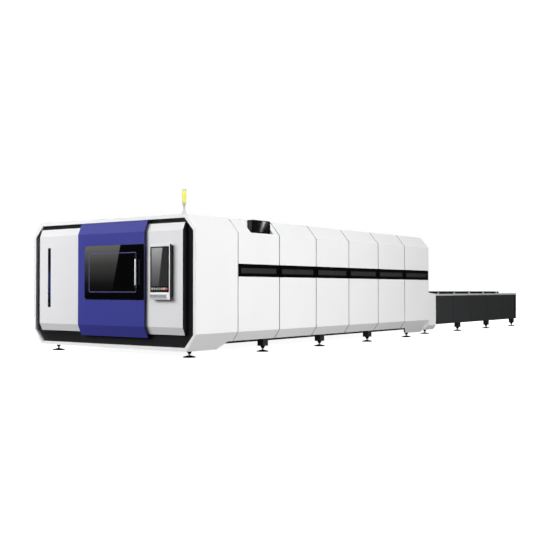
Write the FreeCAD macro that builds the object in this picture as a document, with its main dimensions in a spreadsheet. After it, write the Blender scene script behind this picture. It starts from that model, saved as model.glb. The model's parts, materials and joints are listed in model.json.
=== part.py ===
import FreeCAD, Part
import math
import os
import Sketcher

# Fiber laser cutting machine with a closed housing and an exchange table.
# Millimetres. X is across the machine, Y runs from the front door to the
# exchange table, Z is up, and the floor is Z = 0.

doc = FreeCAD.newDocument("LaserCutter")
sheet = doc.addObject("Spreadsheet::Sheet", "Sizes")


class Size:
    """A length: the expression that FreeCAD keeps, and its value now."""

    def __init__(self, text, value):
        self.text = text
        self.value = value

    def __add__(self, other):
        other = asSize(other)
        return Size(f"({self.text} + {other.text})", self.value + other.value)

    def __sub__(self, other):
        other = asSize(other)
        return Size(f"({self.text} - {other.text})", self.value - other.value)

    def __mul__(self, other):
        other = asSize(other)
        return Size(f"{self.text} * {other.text}", self.value * other.value)

    def __truediv__(self, other):
        other = asSize(other)
        return Size(f"{self.text} / {other.text}", self.value / other.value)

    def __neg__(self):
        return Size(f"(0 - {self.text})", -self.value)

    def __radd__(self, other):
        return asSize(other) + self

    def __rsub__(self, other):
        return asSize(other) - self

    def __rmul__(self, other):
        return asSize(other) * self


def asSize(number):
    return number if isinstance(number, Size) else Size(repr(float(number)), float(number))


def driving(alias, number, note):
    """A driving dimension: one row of the spreadsheet."""
    driving.row += 1
    sheet.set(f"A{driving.row}", alias)
    sheet.set(f"B{driving.row}", str(number))
    sheet.set(f"C{driving.row}", note)
    sheet.setAlias(f"B{driving.row}", alias)
    return Size(f"Sizes.{alias}", float(number))


driving.row = 0

# Housing
housingWidth = driving("housingWidth", 3960, "over the side panels")
roofHeight = driving("roofHeight", 2320, "floor to roof")
eaveHeight = driving("eaveHeight", 2070, "top of the upright side walls")
eaveInset = driving("eaveInset", 210, "how far the top chamfer leans in")
sillHeight = driving("sillHeight", 390, "bottom of the upright side walls")
bayFloor = driving("bayFloor", 230, "bottom edge of the middle side panels")
skirtFloor = driving("skirtFloor", 105, "bottom edge of the front and rear panels")
skirtInset = driving("skirtInset", 200, "how far that edge is tucked in")
frontBay = driving("frontBay", 1080, "length of the front bay")
bayLength = driving("bayLength", 1200, "length of each other bay")
seam = driving("seam", 18, "groove between panels")
sheetSteel = driving("sheetSteel", 3, "panel sheet")
panelDepth = driving("panelDepth", 30, "folded edge of a panel")
tube = driving("tube", 80, "square tube of the housing frame")
ringDepth = driving("ringDepth", 54, "depth of the front ring")
ringFace = driving("ringFace", 58, "width of the front ring")
# Front panels and door
panelTop = driving("panelTop", 2190, "top of the front panels")
panelBottom = driving("panelBottom", 365, "bottom of the front panels")
faceTop = driving("faceTop", 2060, "where the front faces bend back at the top")
faceBottom = driving("faceBottom", 490, "where they bend back at the bottom")
panelProud = driving("panelProud", 60, "front panels ahead of the ring")
doorProud = driving("doorProud", 120, "door ahead of the ring")
doorThick = driving("doorThick", 40, "door leaf")
doorTop = driving("doorTop", 2250, "top of the door")
doorBottom = driving("doorBottom", 303, "bottom of the door")
doorLeft = driving("doorLeft", -645, "left edge of the closed door")
doorRight = driving("doorRight", 965, "right edge of the closed door")
leftPanelEdge = driving("leftPanelEdge", -1740, "outer edge of the left panel")
leftPanelEnd = driving("leftPanelEnd", -600, "its edge behind the door")
rightPanelStart = driving("rightPanelStart", 940, "edge of the right panel by the door")
rightPanelEdge = driving("rightPanelEdge", 1755, "outer edge of the right panel")
glassThick = driving("glassThick", 6, "door glass")
handleReach = driving("handleReach", 180, "front of the handle ahead of the ring")
handleBar = driving("handleBar", 24, "handle diameter")
# Console
consoleLeft = driving("consoleLeft", 1125, "left edge of the console")
consoleWidth = driving("consoleWidth", 430, "console width")
consoleBottom = driving("consoleBottom", 937, "bottom of the console")
consoleTall = driving("consoleTall", 913, "console height")
consoleProud = driving("consoleProud", 160, "console face ahead of the ring")
buttonPitch = driving("buttonPitch", 52, "controls, centre to centre")
buttonSize = driving("buttonSize", 30, "button diameter")
buttonTravel = driving("buttonTravel", 4, "how far a button goes in")
# Windows, feet, table
windowBottom = driving("windowBottom", 1340, "bottom of the window band")
windowTall = driving("windowTall", 185, "height of the window band")
footSpan = driving("footSpan", 1820, "side feet from the middle")
footBlock = driving("footBlock", 130, "square block above a foot")
padSize = driving("padSize", 220, "foot pad diameter")
tableHalf = driving("tableHalf", 1400, "table side planes from the middle")
tableLength = driving("tableLength", 6740, "exchange table behind the rear covers")
tableTop = driving("tableTop", 943, "top of the table's side panels")
railTop = driving("railTop", 988, "top of the table's rails")
tableFloor = driving("tableFloor", 220, "bottom of the table's side panels")
# Cutting bed
bedHalf = driving("bedHalf", 1560, "bed beams from the middle, outer face")
bedTop = driving("bedTop", 1190, "top of the bed beams")
sheetLength = driving("sheetLength", 6100, "length of a pallet")
palletHalf = driving("palletHalf", 1290, "half width of a pallet")
palletDrop = driving("palletDrop", 260, "lower pallet below the upper one")
palletTall = driving("palletTall", 120, "pallet frame height")
slatPitch = driving("slatPitch", 100, "slats, centre to centre")
runGap = driving("runGap", 0.3, "running gap")
doc.recompute()

BAYS = 7
halfWidth = housingWidth / 2
roofHalf = halfWidth - eaveInset
housingEnd = frontBay + bayLength * (BAYS - 1)
skirtEnd = housingEnd + 380
tableEnd = skirtEnd + tableLength
# the front ring's face, so that the origin is under the middle of the machine
frontY = -(tableEnd - handleReach) / 2
skin = sheetSteel
bodies = []


def bind(item, path, size):
    item.setExpression(path, asSize(size).text)


def block(name, x, y, z):
    """A box between pairs of places. Y counts from the front ring's face."""
    box = doc.addObject("Part::Box", name)
    for path, span in (("Length", x), ("Width", y), ("Height", z)):
        bind(box, path, asSize(span[1]) - span[0])
    bind(box, "Placement.Base.x", x[0])
    bind(box, "Placement.Base.y", asSize(y[0]) + frontY)
    bind(box, "Placement.Base.z", z[0])
    return box


AXES = {"X": (0, 1, 0, 90), "Y": (1, 0, 0, -90), "Z": (0, 0, 1, 0)}


def round_(name, axis, radius, length, x, y, z, top=None):
    """A cylinder or a cone that starts at a place and runs along an axis."""
    kind = "Part::Cylinder" if top is None else "Part::Cone"
    rod = doc.addObject(kind, name)
    if top is None:
        bind(rod, "Radius", radius)
    else:
        bind(rod, "Radius1", radius)
        bind(rod, "Radius2", top)
    bind(rod, "Height", length)
    turn = AXES[axis]
    rod.Placement.Rotation = FreeCAD.Rotation(FreeCAD.Vector(*turn[:3]), turn[3])
    bind(rod, "Placement.Base.x", x)
    bind(rod, "Placement.Base.y", asSize(y) + frontY)
    bind(rod, "Placement.Base.z", z)
    return rod


def keep(item, label):
    """Marks an object as a finished sub-part with its own label."""
    item.Label = label
    bodies.append(item)
    return item


def group(label, parts):
    """Several loose pieces of one kind as one sub-part."""
    pile = doc.addObject("Part::Compound", label)
    pile.Links = parts
    return keep(pile, label)


def cut(name, base, tools):
    """The base less every tool."""
    tool = tools[0]
    if len(tools) > 1:
        tool = doc.addObject("Part::MultiFuse", name + "_tools")
        tool.Shapes = tools
    result = doc.addObject("Part::Cut", name)
    result.Base = base
    result.Tool = tool
    return result


def fuse(name, shapes):
    result = doc.addObject("Part::MultiFuse", name)
    result.Shapes = shapes
    return result


def sketchOn(body, name, role, offset):
    """A sketch on one of the body's own origin planes, moved along its normal."""
    plane = [item for item in body.Origin.OriginFeatures if item.Role == role][0]
    sketch = body.newObject("Sketcher::SketchObject", name)
    sketch.AttachmentSupport = (plane, [""])
    sketch.MapMode = "FlatFace"
    bind(sketch, "AttachmentOffset.Base.z", offset)
    return sketch


def outline(sketch, corners):
    """A closed outline whose corners are all placed from the origin."""
    first = sketch.GeometryCount
    count = len(corners)
    places = [FreeCAD.Vector(asSize(a).value, asSize(b).value, 0) for a, b in corners]
    for number in range(count):
        line = Part.LineSegment(places[number], places[(number + 1) % count])
        sketch.addGeometry(line, False)
    for number in range(count):
        line = first + number
        following = first + (number + 1) % count
        sketch.addConstraint(Sketcher.Constraint("Coincident", line, 2, following, 1))
    for number, (across, up) in enumerate(corners):
        for kind, size in (("DistanceX", across), ("DistanceY", up)):
            size = asSize(size)
            limit = Sketcher.Constraint(kind, -1, 1, first + number, 1, size.value)
            row = sketch.addConstraint(limit)
            bind(sketch, f"Constraints[{row}]", size)


def prism(name, role, start, end, outlines):
    """A body padded from start to end. XZ outlines run along Y, from the ring's face."""
    body = doc.addObject("PartDesign::Body", name)
    start, end = asSize(start), asSize(end)
    if role == "XZ_Plane":
        offset = -(end + frontY)
    else:
        offset = start
    sketch = sketchOn(body, name + "_outline", role, offset)
    for corners in outlines:
        outline(sketch, corners)
    pad = body.newObject("PartDesign::Pad", name + "_pad")
    pad.Profile = sketch
    bind(pad, "Length", end - start)
    return body


OPEN_FACE = 0.7


def hollow(body, directions, thickness=None):
    """Leaves a folded sheet: the faces that look along the directions are open."""
    doc.recompute()
    solid = body.Tip
    ways = [FreeCAD.Vector(*direction) for direction in directions]
    picked = []
    for number, face in enumerate(solid.Shape.Faces):
        if max(face.normalAt(0, 0).dot(way) for way in ways) > OPEN_FACE:
            picked.append(f"Face{number + 1}")
    shell = body.newObject("PartDesign::Thickness", body.Name + "_sheet")
    shell.Base = (solid, picked)
    shell.Reversed = True
    bind(shell, "Value", skin if thickness is None else thickness)
    body.Tip = shell
    return body


def inwards(corners, depth):
    """The same line moved to its left by a depth, with mitred corners."""
    values = [(asSize(a).value, asSize(b).value) for a, b in corners]
    moved = []
    for number, (across, up) in enumerate(corners):
        before = values[max(number - 1, 0)]
        here = values[number]
        after = values[min(number + 1, len(values) - 1)]
        ways = []
        for start, stop in ((before, here), (here, after)):
            reach = math.hypot(stop[0] - start[0], stop[1] - start[1])
            if reach:
                ways.append(((start[1] - stop[1]) / reach, (stop[0] - start[0]) / reach))
        if len(ways) == 1:
            ways.append(ways[0])
        bend = 1 + ways[0][0] * ways[1][0] + ways[0][1] * ways[1][1]
        sideX = (ways[0][0] + ways[1][0]) / bend
        sideY = (ways[0][1] + ways[1][1]) / bend
        moved.append((asSize(across) + depth * sideX, asSize(up) + depth * sideY))
    return moved


# --- Housing shell -----------------------------------------------------------


def shellLine(floor, inset):
    """The right side's outer line, from the bottom edge up to the roof edge."""
    return [(halfWidth - inset, floor), (halfWidth, sillHeight),
            (halfWidth, eaveHeight), (roofHalf, roofHeight)]


def mirrored(corners):
    return [(-asSize(across), up) for across, up in corners]


def slab(line, depth):
    """A closed outline: a line and the same line moved in by a depth."""
    return line + list(reversed(inwards(line, depth)))


lean = (roofHeight - eaveHeight) / eaveInset
skirtFront = frontBay - 330
skirtRear = housingEnd - bayLength + 410
slopeLength = 200


def wallCorners(line):
    """A cross wall inside the panels' folded edges, up to the roof panels."""
    edge = inwards(line, panelDepth)
    top = roofHeight - panelDepth
    return edge + [(edge[-1][0] - (edge[-1][1] - top) * lean, top)]


skirtLine = shellLine(skirtFloor, skirtInset)
bayInset = skirtInset * ((sillHeight - bayFloor) / (sillHeight - skirtFloor))
bayLine = shellLine(bayFloor, bayInset)
seams = [frontBay + bayLength * number for number in range(BAYS)]
bayStarts = [ringDepth] + [place + seam / 2 for place in seams[:-1]]
bayEnds = [place - seam / 2 for place in seams]
bayEnds[-1] = seams[-1]


def sidePanel(label, number, mirror):
    """A folded panel over one bay; the end ones reach lower and slope up to the others."""
    line = skirtLine if number in (0, BAYS - 1) else bayLine
    corners = slab(line, panelDepth)
    if mirror:
        corners = mirrored(corners)
    panel = prism(label, "XZ_Plane", bayStarts[number], bayEnds[number], [corners])
    if number in (0, BAYS - 1):
        low, inner = (skirtFront, bayEnds[0]) if number == 0 else (skirtRear, bayStarts[-1])
        slopeWay = 1 if number == 0 else -1
        slope = low + slopeWay * slopeLength
        clear = inner + slopeWay * 5
        sketch = sketchOn(panel, f"{label}_slope_outline", "YZ_Plane", -halfWidth - 5)
        outline(sketch, [(frontY + low, skirtFloor), (frontY + slope, bayFloor),
                         (frontY + clear, bayFloor), (frontY + clear, skirtFloor - 50),
                         (frontY + low, skirtFloor - 50)])
        trim = panel.newObject("PartDesign::Pocket", f"{label}_slope")
        trim.Profile = sketch
        trim.Reversed = True
        bind(trim, "Length", housingWidth + 10)
    return hollow(panel, [(1 if mirror else -1, 0, 0)])


def pocketBox(body, name, x, y, z):
    """Cuts a box out of a body, sideways through X."""
    sketch = sketchOn(body, name + "_outline", "YZ_Plane", x[0])
    corners = [(asSize(y[0]) + frontY, z[0]), (asSize(y[1]) + frontY, z[0]),
               (asSize(y[1]) + frontY, z[1]), (asSize(y[0]) + frontY, z[1])]
    outline(sketch, corners)
    opening = body.newObject("PartDesign::Pocket", name)
    opening.Profile = sketch
    opening.Reversed = True
    bind(opening, "Length", asSize(x[1]) - x[0])
    return opening


# the window band sits in the middle of bays 2 to 7, in a pocket of each panel
windowTop = windowBottom + windowTall
bandBack = halfWidth - 22
paneInset = 75
wallIn = halfWidth - panelDepth
# the display faces +X from a notch in the top chamfer of bay 2
displayLength = 537
displayFront = frontBay + (bayLength - displayLength) / 2 + 145.5
displayBottom = eaveHeight + 14
cowlBack = halfWidth - 177
notchRear = displayFront + displayLength + 16
notchFoot = displayFront - 107
notchTop = roofHeight + 10
notchLean = 0.15
notchOutline = [(notchFoot + frontY, displayBottom), (notchRear + frontY, displayBottom),
                (notchRear + frontY, notchTop),
                (notchFoot - (notchTop - displayBottom) * notchLean + frontY, notchTop)]
bands = []
panes = []
rightPanels = []
for number in range(BAYS):
    panel = sidePanel(f"right_panel_{number + 1}", number, False)
    if number > 0:
        span = (bayStarts[number] + 20, bayEnds[number] - 20)
        pocketBox(panel, f"window_slot_{number + 1}", (wallIn - 5, halfWidth + 5),
                  span, (windowBottom, windowTop))
        band = block(f"band_{number + 1}", (bandBack, halfWidth - skin), span,
                     (windowBottom, windowTop))
        paneSpan = (bayStarts[number] + paneInset, bayEnds[number] - paneInset)
        paneHigh = (windowBottom + 35, windowTop - 45)
        sight = block(f"sight_{number + 1}", (bandBack - 5, halfWidth), paneSpan, paneHigh)
        bands.append(cut(f"band_cut_{number + 1}", band, [sight]))
        panes.append(block(f"pane_{number + 1}", (bandBack + 4, bandBack + 12), paneSpan, paneHigh))
    if number == 1:
        notch = sketchOn(panel, "display_notch_outline", "YZ_Plane", cowlBack)
        outline(notch, notchOutline)
        opening = panel.newObject("PartDesign::Pocket", "display_notch")
        opening.Profile = notch
        opening.Reversed = True
        bind(opening, "Length", halfWidth - cowlBack)
    rightPanels.append(panel)

leftPanels = []
for number in range(BAYS):
    leftPanels.append(sidePanel(f"left_panel_{number + 1}", number, True))
group("side_panels_right", rightPanels)
group("side_panels_left", leftPanels)
group("window_bands", bands)
group("window_panes", panes)

# Roof: one folded panel over each bay, between the two side panels
roofSheets = []
for number in range(BAYS):
    line = [(roofHalf, roofHeight), (-roofHalf, roofHeight)]
    low = roofHeight - panelDepth
    inset = panelDepth * lean
    corners = [(roofHalf, roofHeight), (-roofHalf, roofHeight),
               (-(roofHalf - inset), low), (roofHalf - inset, low)]
    panel = prism(f"roof_{number + 1}", "XZ_Plane", bayStarts[number], bayEnds[number], [corners])
    roofSheets.append(hollow(panel, [(0, 0, -1)]))
group("roof_panels", roofSheets)

# Front ring: an octagonal channel open to the rear
ringOuter = shellLine(skirtFloor, skirtInset)
ringOutline = ringOuter + list(reversed(mirrored(ringOuter)))
openingLine = [(roofHalf - 35, roofHeight - ringFace), (halfWidth - ringFace, eaveHeight - 20),
               (halfWidth - ringFace, sillHeight - 15),
               (halfWidth - skirtInset - 40, skirtFloor + ringFace)]
openingOutline = openingLine + list(reversed(mirrored(openingLine)))
ring = prism("front_frame", "XZ_Plane", 0, ringDepth, [ringOutline, openingOutline])
keep(hollow(ring, [(0, 1, 0)]), "front_frame")

# Inner front wall behind the ring: two cheeks, a header and a sill around the doorway
wallLine = wallCorners(skirtLine)
wallLow, wallHigh = wallLine[0][1], wallLine[-1][1]
doorwayLeft = doorLeft + 90
doorwayRight = doorRight - 60
doorwayBottom = panelBottom + 15
doorwayTop = panelTop - 60
sheets = {"cheek_right": [(doorwayRight, wallLow)] + wallLine + [(doorwayRight, wallHigh)],
          "cheek_left": [(doorwayLeft, wallLow)] + mirrored(wallLine) + [(doorwayLeft, wallHigh)],
          "header": [(doorwayLeft, doorwayTop), (doorwayRight, doorwayTop),
                     (doorwayRight, wallHigh), (doorwayLeft, wallHigh)],
          "sill": [(doorwayLeft, wallLow), (doorwayRight, wallLow),
                   (doorwayRight, doorwayBottom), (doorwayLeft, doorwayBottom)]}
group("front_bulkhead", [prism(name, "XZ_Plane", ringDepth, ringDepth + skin, [corners])
                         for name, corners in sheets.items()])


def facade(proud, back, top, bottom):
    """A front face's line in Y and Z, bent back at the top and the bottom."""
    return [(frontY - back, bottom), (frontY - proud, faceBottom),
            (frontY - proud, faceTop), (frontY - back, top)]


whiteDepth = 22
backings = []
slotLeft, slotRight = leftPanelEdge + 222, leftPanelEdge + 300
slotBottom, slotTop = faceBottom + 297, faceTop - 207
for label, edges in (("left", (leftPanelEdge, leftPanelEnd)),
                     ("right", (rightPanelStart, rightPanelEdge))):
    line = facade(panelProud, 0, panelTop, panelBottom)
    inner = inwards(list(reversed(line)), whiteDepth)
    corners = line + inner
    panel = prism(f"front_panel_{label}", "YZ_Plane", edges[0], edges[1], [corners])
    hollow(panel, [(0, 1, 0)])
    if label == "left":
        pocketBoxY = sketchOn(panel, "slot_outline", "XZ_Plane", panelProud + 5 - frontY)
        outline(pocketBoxY, [(slotLeft, slotBottom), (slotRight, slotBottom),
                             (slotRight, slotTop), (slotLeft, slotTop)])
        slot = panel.newObject("PartDesign::Pocket", "slot")
        slot.Profile = pocketBoxY
        bind(slot, "Length", whiteDepth)
    keep(panel, f"front_panel_{label}")
    # the boxed backing that carries the white skin off the inner wall
    back = asSize(frontY + ringDepth)
    corners = [(back, panelBottom + 20), (back, panelTop - 20)] + [
        (inner[0][0], inner[0][1] - 4), inner[1], inner[2], (inner[3][0], inner[3][1] + 4)]
    box = prism(f"front_backing_{label}", "YZ_Plane", edges[0] + 1, edges[1] - 1, [corners])
    backings.append(hollow(box, [(0, 1, 0)]))
group("front_backings", backings)

group("slot_lens", [block("slot_glass", (slotLeft + 1, slotRight - 1),
                          (-panelProud + skin, -panelProud + whiteDepth),
                          (slotBottom + 1, slotTop - 1))])

# --- Sliding door ------------------------------------------------------------


def sheetWall(name, line, start, end, depth):
    """A front leaf: bent line with level returns at its top and bottom."""
    inner = inwards(list(reversed(line)), depth)
    inner[0] = (line[-1][0] + depth, line[-1][1])
    inner[-1] = (line[0][0] + depth, line[0][1])
    return prism(name, "YZ_Plane", start, end, [line + inner])


def cutFront(body, name, x, z, front, depth):
    """Cuts a rectangle into a body from its front."""
    sketch = sketchOn(body, name + "_outline", "XZ_Plane", -(asSize(frontY) - front))
    outline(sketch, [(x[0], z[0]), (x[1], z[0]), (x[1], z[1]), (x[0], z[1])])
    opening = body.newObject("PartDesign::Pocket", name)
    opening.Profile = sketch
    bind(opening, "Length", depth)
    return opening


def roundEdges(body, chosen, radius):
    """Rounds the edges whose middle passes the test."""
    doc.recompute()
    solid = body.Tip
    picked = [f"Edge{number + 1}" for number, edge in enumerate(solid.Shape.Edges)
              if chosen(edge)]
    bend = body.newObject("PartDesign::Fillet", body.Name + "_round")
    bend.Base = (solid, picked)
    bind(bend, "Radius", radius)
    body.Tip = bend
    return bend


def runsAlong(edge, axis):
    ends = edge.Vertexes[-1].Point - edge.Vertexes[0].Point
    return abs(ends.normalize()[axis]) > 0.99


sightLeft, sightRight = doorLeft + 285, doorRight - 207
sightBottom, sightTop = faceBottom + 565, faceTop - 334
doorLine = facade(doorProud, doorThick, doorTop, doorBottom)
leaf = sheetWall("door_leaf", doorLine, doorLeft, doorRight, doorThick)
hollow(leaf, [(0, 1, 0)])
cutFront(leaf, "sight", (sightLeft, sightRight), (sightBottom, sightTop),
         doorProud + 5, doorThick / 2)
keep(leaf, "door_leaf")

glassLeft, glassRight = doorLeft + 174, doorRight - 10
glassBottom, glassTop = faceBottom + 440, faceTop - 205
glassFront = doorProud + glassThick
glass = prism("door_glass", "XZ_Plane", -glassFront, -doorProud,
              [[(glassLeft, glassBottom), (glassRight, glassBottom),
                (glassRight, glassTop), (glassLeft, glassTop)]])
roundEdges(glass, lambda edge: runsAlong(edge, 1)
           and abs(edge.CenterOfMass.x - glassLeft.value) < 1, 60)
keep(glass, "door_glass")

# Handle: a straight grip on two curved ends
gripX = doorRight - 164
gripY = -handleReach + handleBar / 2
gripBottom, gripTop = faceBottom + 686, faceTop - 451
elbow = handleReach - glassFront - handleBar / 2
elbowStraight = 40
keep(round_("handle_grip", "Z", handleBar / 2, gripTop - gripBottom, gripX, gripY, gripBottom),
     "handle_grip")
ends = []
for number, (place, up) in enumerate(((gripBottom, -1), (gripTop, 1))):
    straightFrom = place - elbowStraight if up < 0 else place
    straight = round_(f"handle_straight_{number}", "Z", handleBar / 2 - 1, elbowStraight,
                      gripX, gripY, straightFrom)
    turn = doc.addObject("Part::Torus", f"handle_turn_{number}")
    bind(turn, "Radius1", elbow)
    bind(turn, "Radius2", handleBar / 2 - 1)
    turn.Angle3 = 90
    ways = (FreeCAD.Vector(0, -1, 0), FreeCAD.Vector(0, 0, up), FreeCAD.Vector(-up, 0, 0))
    turn.Placement.Rotation = FreeCAD.Rotation(*ways, "XYZ")
    bind(turn, "Placement.Base.x", gripX)
    bind(turn, "Placement.Base.y", frontY - glassFront)
    bind(turn, "Placement.Base.z", place + elbowStraight * up)
    ends.append(fuse(f"handle_end_{number}", [straight, turn]))
group("handle_ends", ends)

# The door runs on a rail above and a rail below, both on the inner front wall
railThick = 20
trackSpan = (leftPanelEdge + 20, doorRight)
trackDepth = (ringDepth - railThick, ringDepth)
topTrack = (doorTop - 40, doorTop - 16)
bottomTrack = (doorBottom + 7, doorBottom + 31)
group("door_tracks", [block("track_top", trackSpan, trackDepth, topTrack),
                      block("track_bottom", trackSpan, trackDepth, bottomTrack)])
runners = []
runnerLong = 110
for side, start in enumerate((doorLeft + 160, doorRight - 160 - runnerLong)):
    long = (start, start + runnerLong)
    back = (0, ringDepth - railThick - runGap)
    under = (-doorThick + 4, 0)
    runners.append(fuse(f"runner_top_{side}", [
        block(f"runner_top_back_{side}", long, back, (doorTop - 48, doorTop)),
        block(f"runner_top_arm_{side}", long, under, (doorTop - skin - 12, doorTop - skin))]))
    runners.append(fuse(f"runner_bottom_{side}", [
        block(f"runner_bottom_back_{side}", long, back, (doorBottom, doorBottom + 42)),
        block(f"runner_bottom_arm_{side}", long, under,
              (doorBottom + skin, doorBottom + skin + 12))]))
group("door_runners", runners)

# --- Console -----------------------------------------------------------------

consoleRight = consoleLeft + consoleWidth
consoleTop = consoleBottom + consoleTall
bezelThick = 15
caseFront = consoleProud - bezelThick
caseLine = [(frontY - panelProud, consoleBottom + 60), (frontY - caseFront, consoleBottom),
            (frontY - caseFront, consoleTop), (frontY - panelProud, consoleTop - 40)]
case = prism("console_housing", "YZ_Plane", consoleLeft + 4, consoleRight - 4, [caseLine])
keep(hollow(case, [(0, 1, 0)], 2), "console_housing")

edge = 8
viewLeft, viewRight = consoleLeft + edge, consoleRight - edge
viewBottom, viewTop = consoleBottom + 123, consoleTop - 50
bezel = prism("console_bezel", "XZ_Plane", -consoleProud, -caseFront,
              [[(consoleLeft, consoleBottom), (consoleRight, consoleBottom),
                (consoleRight, consoleTop), (consoleLeft, consoleTop)],
               [(viewLeft, viewBottom), (viewRight, viewBottom),
                (viewRight, viewTop), (viewLeft, viewTop)]])
keep(bezel, "console_bezel")

glassFace = consoleProud - 4
glassBack = glassFace - 10
lcdLeft, lcdRight = viewLeft + 26, viewRight - 26
lcdBottom, lcdTop = viewBottom + 93, viewTop - 18
buttonHeight = viewBottom + 53
buttonHole = buttonSize / 2 + 0.5
panel = block("console_sheet", (viewLeft, viewRight), (-glassFace, -glassBack),
              (viewBottom, viewTop))
lcdHole = block("lcd_hole", (lcdLeft, lcdRight), (-glassFace - 5, -glassBack + 5),
                (lcdBottom, lcdTop))
controlNames = ["button_start", "button_pause", "button_light", "button_exchange",
                "button_reset", "mode_selector", "emergency_stop"]
controlX = [viewLeft + 44 + buttonPitch * number for number in range(len(controlNames))]
holes = [round_(f"control_hole_{number}", "Y", buttonHole, glassFace - glassBack + 10,
                place, -glassBack + 5, buttonHeight)
         for number, place in enumerate(controlX)]
for hole in holes:
    hole.Placement.Rotation = FreeCAD.Rotation(FreeCAD.Vector(1, 0, 0), 90)
keep(cut("console_glass", panel, [lcdHole] + holes), "console_glass")
keep(block("console_display", (lcdLeft, lcdRight), (-glassFace - 1, -glassBack),
           (lcdBottom, lcdTop)), "console_display")


def knob(name, place, radius, back, front):
    """A round piece whose axis points out of the console."""
    rod = round_(name, "Y", radius, asSize(front) - back, place, -asSize(back), buttonHeight)
    rod.Placement.Rotation = FreeCAD.Rotation(FreeCAD.Vector(1, 0, 0), 90)
    return rod


buttonBack = glassBack + buttonTravel + 1
buttonFront = glassFace + 12
for number, name in enumerate(controlNames):
    place = controlX[number]
    stem = knob(name + "_stem", place, buttonSize / 2, buttonBack, buttonFront)
    if name == "emergency_stop":
        head = knob(name + "_head", place, buttonSize * 0.7, buttonFront - 2, handleReach)
        keep(fuse(name, [stem, head]), name)
    elif name == "mode_selector":
        lever = block(name + "_lever", (place - 4, place + 4), (-buttonFront - 8, -buttonFront),
                      (buttonHeight - buttonSize / 2 + 1, buttonHeight + buttonSize / 2 - 1))
        keep(fuse(name, [stem, lever]), name)
    else:
        keep(stem, name)

keyLine = [(frontY - consoleProud, consoleBottom + 4), (frontY - consoleProud, consoleBottom + 106),
           (frontY - consoleProud - 16, consoleBottom + 52),
           (frontY - consoleProud - 16, consoleBottom + 38)]
keep(prism("console_keyboard", "YZ_Plane", consoleLeft + 9, consoleRight - 28, [keyLine]),
     "console_keyboard")

# --- Signal lamp and rear-facing display -------------------------------------

lampX = roofHalf - 150
lampY = asSize(125)
lampParts = []
lampZ = roofHeight
for name, low, high, tall in (("foot", 45, 18, 75), ("neck", 17.5, None, 50), ("cup", 18, 36, 68)):
    lampParts.append(round_(f"lamp_{name}", "Z", low, tall, lampX, lampY, lampZ, high))
    lampZ = lampZ + tall
keep(fuse("lamp_base", lampParts), "lamp_base")
keep(round_("lamp_lens", "Z", 36, 200, lampX, lampY, lampZ), "lamp_lens")
keep(round_("lamp_cap", "Z", 37, 22, lampX, lampY, lampZ + 200, 30), "lamp_cap")

envelope = prism("cowl_envelope", "XZ_Plane", displayFront - 400, notchRear + 20,
                 [[(cowlBack - 20, displayBottom - 10)]
                  + inwards([(halfWidth, eaveHeight), (roofHalf, roofHeight)], skin)
                  + [(cowlBack - 20, roofHeight - 20)]])
rampTop = notchOutline[3]
cowlOutline = [(notchOutline[0][0] - 4, displayBottom - skin),
               (notchOutline[1][0] + skin, displayBottom - skin),
               (notchOutline[2][0] + skin, notchTop), (rampTop[0] - 4, notchTop)]
cowlBlock = prism("cowl_block", "YZ_Plane", cowlBack - skin, halfWidth, [cowlOutline])
cowlHollow = prism("cowl_hollow", "YZ_Plane", cowlBack, halfWidth + 5, [notchOutline])
cowl = doc.addObject("Part::Common", "display_cowl")
cowl.Base = cut("cowl_tray", cowlBlock, [cowlHollow])
cowl.Tool = envelope
keep(cowl, "display_cowl")

displayFace = cowlBack + 107
displaySpan = (displayFront + frontY, displayFront + displayLength + frontY)
displayHigh = (displayBottom, roofHeight)
displayCorners = [(displaySpan[0], displayHigh[0]), (displaySpan[1], displayHigh[0]),
                  (displaySpan[1], displayHigh[1]), (displaySpan[0], displayHigh[1])]
box = prism("display_housing", "YZ_Plane", cowlBack, displayFace, [displayCorners])
roundEdges(box, lambda edge: runsAlong(edge, 0), 40)
keep(box, "display_housing")
screenCorners = [(a + da, b + db) for (a, b), (da, db) in
                 zip(displayCorners, ((14, 14), (-14, 14), (-14, -14), (14, -14)))]
screen = prism("display_screen", "YZ_Plane", displayFace, displayFace + 5, [screenCorners])
roundEdges(screen, lambda edge: runsAlong(edge, 0), 28)
keep(screen, "display_screen")

# --- Housing frame and base --------------------------------------------------

tubeOut = panelDepth
tubeIn = panelDepth + tube
portals = [ringDepth + skin] + [place - tube / 2 for place in seams[:-1]] + [housingEnd - skin - tube]
members = []
for number, start in enumerate(portals):
    line = skirtLine if number in (0, BAYS) else bayLine
    outer = inwards(line, tubeOut)
    inner = inwards(line, tubeIn)
    span = (start, start + tube)
    for part in range(3):
        corners = [outer[part], outer[part + 1], inner[part + 1], inner[part]]
        for side, shape in (("right", corners), ("left", mirrored(corners))):
            name = f"portal_{number}_{side}_{part}"
            members.append(prism(name, "XZ_Plane", span[0], span[1], [shape]))
    beamTop = roofHeight - tubeOut
    beamLow = beamTop - tube
    shoulder = outer[3][0] - (outer[3][1] - beamTop) * lean
    corners = [(shoulder, beamTop), (inner[3][0], inner[3][1]), (inner[3][0], beamLow)]
    members.append(prism(f"portal_{number}_beam", "XZ_Plane", span[0], span[1],
                         [corners + list(reversed(mirrored(corners)))]))
postOut = halfWidth - tubeOut
postIn = halfWidth - tubeIn
for number in range(BAYS):
    between = (portals[number] + tube, portals[number + 1])
    for level in (eaveHeight - 20 - tube, sillHeight + 20):
        for side, across in (("right", (postIn, postOut)), ("left", (-postOut, -postIn))):
            members.append(block(f"stringer_{number}_{side}", across, between,
                                 (level, level + tube)))

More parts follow.
